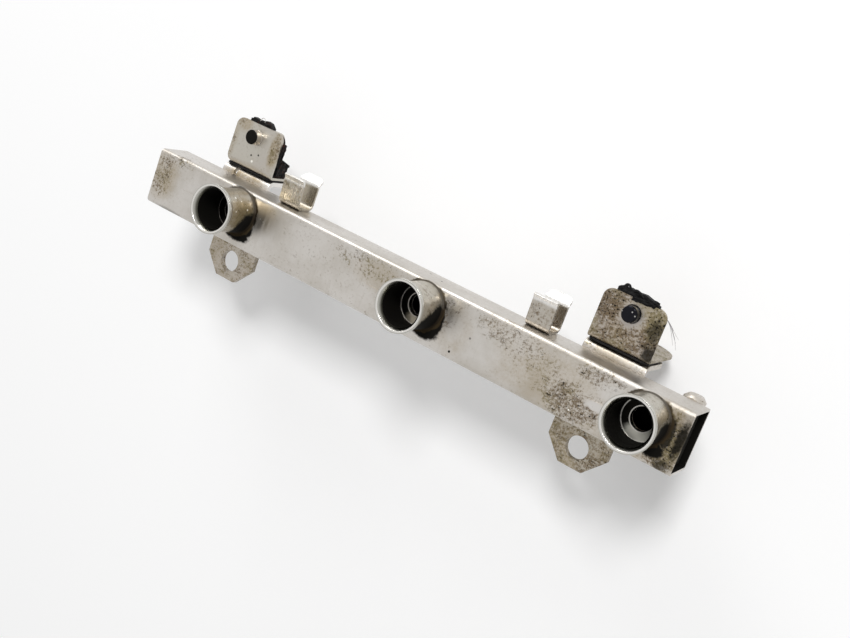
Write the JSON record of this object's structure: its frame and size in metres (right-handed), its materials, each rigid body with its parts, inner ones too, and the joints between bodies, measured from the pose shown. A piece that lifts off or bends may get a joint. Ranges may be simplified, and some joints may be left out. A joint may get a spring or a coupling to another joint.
{
  "type": "fuel rail",
  "caption": "Straight rectangular steel fuel rail with flared injector cups, bolt ears, rubber isolator mounts on bent brackets, and spring clips for a hose.",
  "frame": {"origin": "midway between the two ear bolt holes, in the plane of the ears' front faces", "axes": "+X along the rail, +Y from the bolt ears to the isolator mounts, +Z out of the injector cups"},
  "size_m": [0.224, 0.0618, 0.0626],
  "materials": {
    "tube_steel": "brushed, stained and grimy",
    "cup_steel": "turned, oily",
    "sheet_steel": "pressed, grimy",
    "plate_steel": "pressed, dirty",
    "spring_steel": "bright, scuffed",
    "stud_steel": "oily",
    "black_rubber": "matt, torn"
  },
  "bodies": {
    "root": {"rail_tube": "tube_steel", "inlet_pipe": "tube_steel", "injector_cup_left": "cup_steel", "injector_cup_middle": "cup_steel", "injector_cup_right": "cup_steel", "end_cap_left": "sheet_steel", "mounting_ear_left": "sheet_steel", "bracket_left": "sheet_steel", "isolator_base_pad_left": "black_rubber", "isolator_plate_left": "plate_steel", "isolator_back_plate_left": "plate_steel", "isolator_block_left": "black_rubber", "isolator_stud_left": "stud_steel", "hose_clip_left": "spring_steel", "end_cap_right": "sheet_steel", "mounting_ear_right": "sheet_steel", "bracket_right": "sheet_steel", "isolator_base_pad_right": "black_rubber", "isolator_plate_right": "plate_steel", "isolator_back_plate_right": "plate_steel", "isolator_block_right": "black_rubber", "isolator_stud_right": "stud_steel", "hose_clip_right": "spring_steel"}
  },
  "joints": []
}
